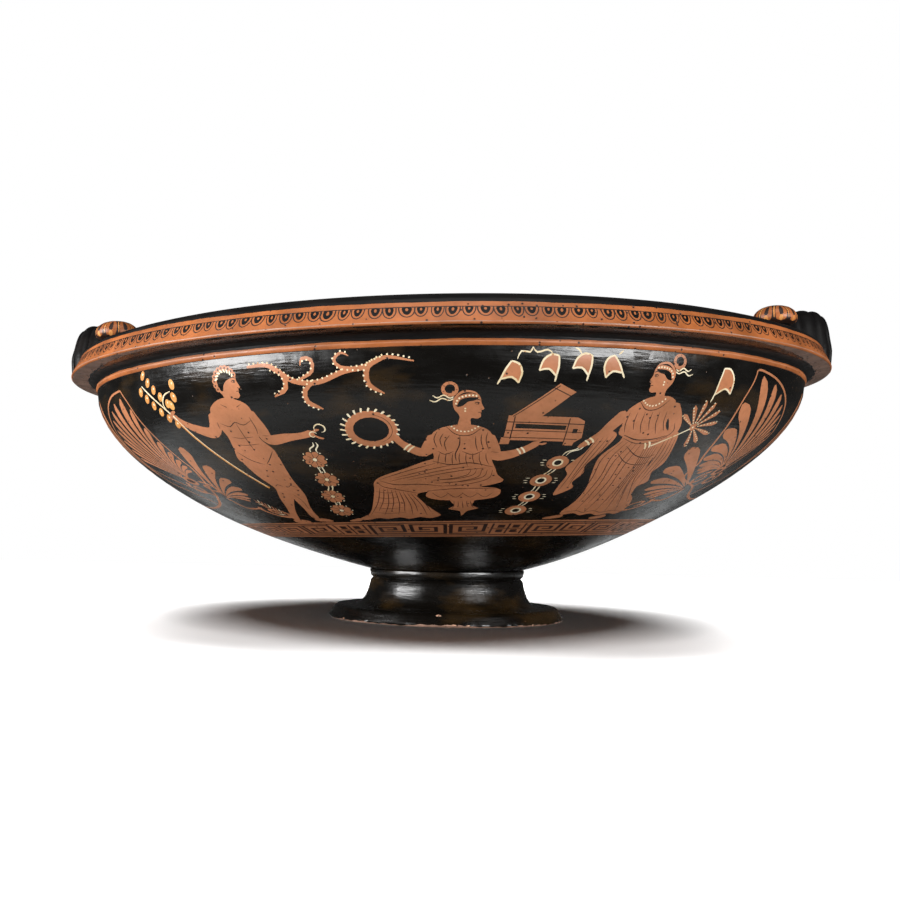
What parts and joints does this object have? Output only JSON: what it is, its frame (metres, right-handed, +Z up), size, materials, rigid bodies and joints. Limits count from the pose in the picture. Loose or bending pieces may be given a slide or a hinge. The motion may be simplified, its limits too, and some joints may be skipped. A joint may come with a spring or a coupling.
{
  "type": "knob-handled patera",
  "caption": "Wide shallow footed bowl of red-figure pottery with an overhanging rim, upright ribbed strap handles and low mushroom knobs on the rim.",
  "frame": {"origin": "middle of the foot's resting ring, on the table", "axes": "+Z up, +X towards the right-hand handle as seen from the front, -Y towards the viewer of the painted front"},
  "size_m": [0.567, 0.56, 0.2428],
  "materials": {
    "patera": "semi-gloss"
  },
  "bodies": {
    "root": {"patera": "patera"}
  },
  "joints": []
}
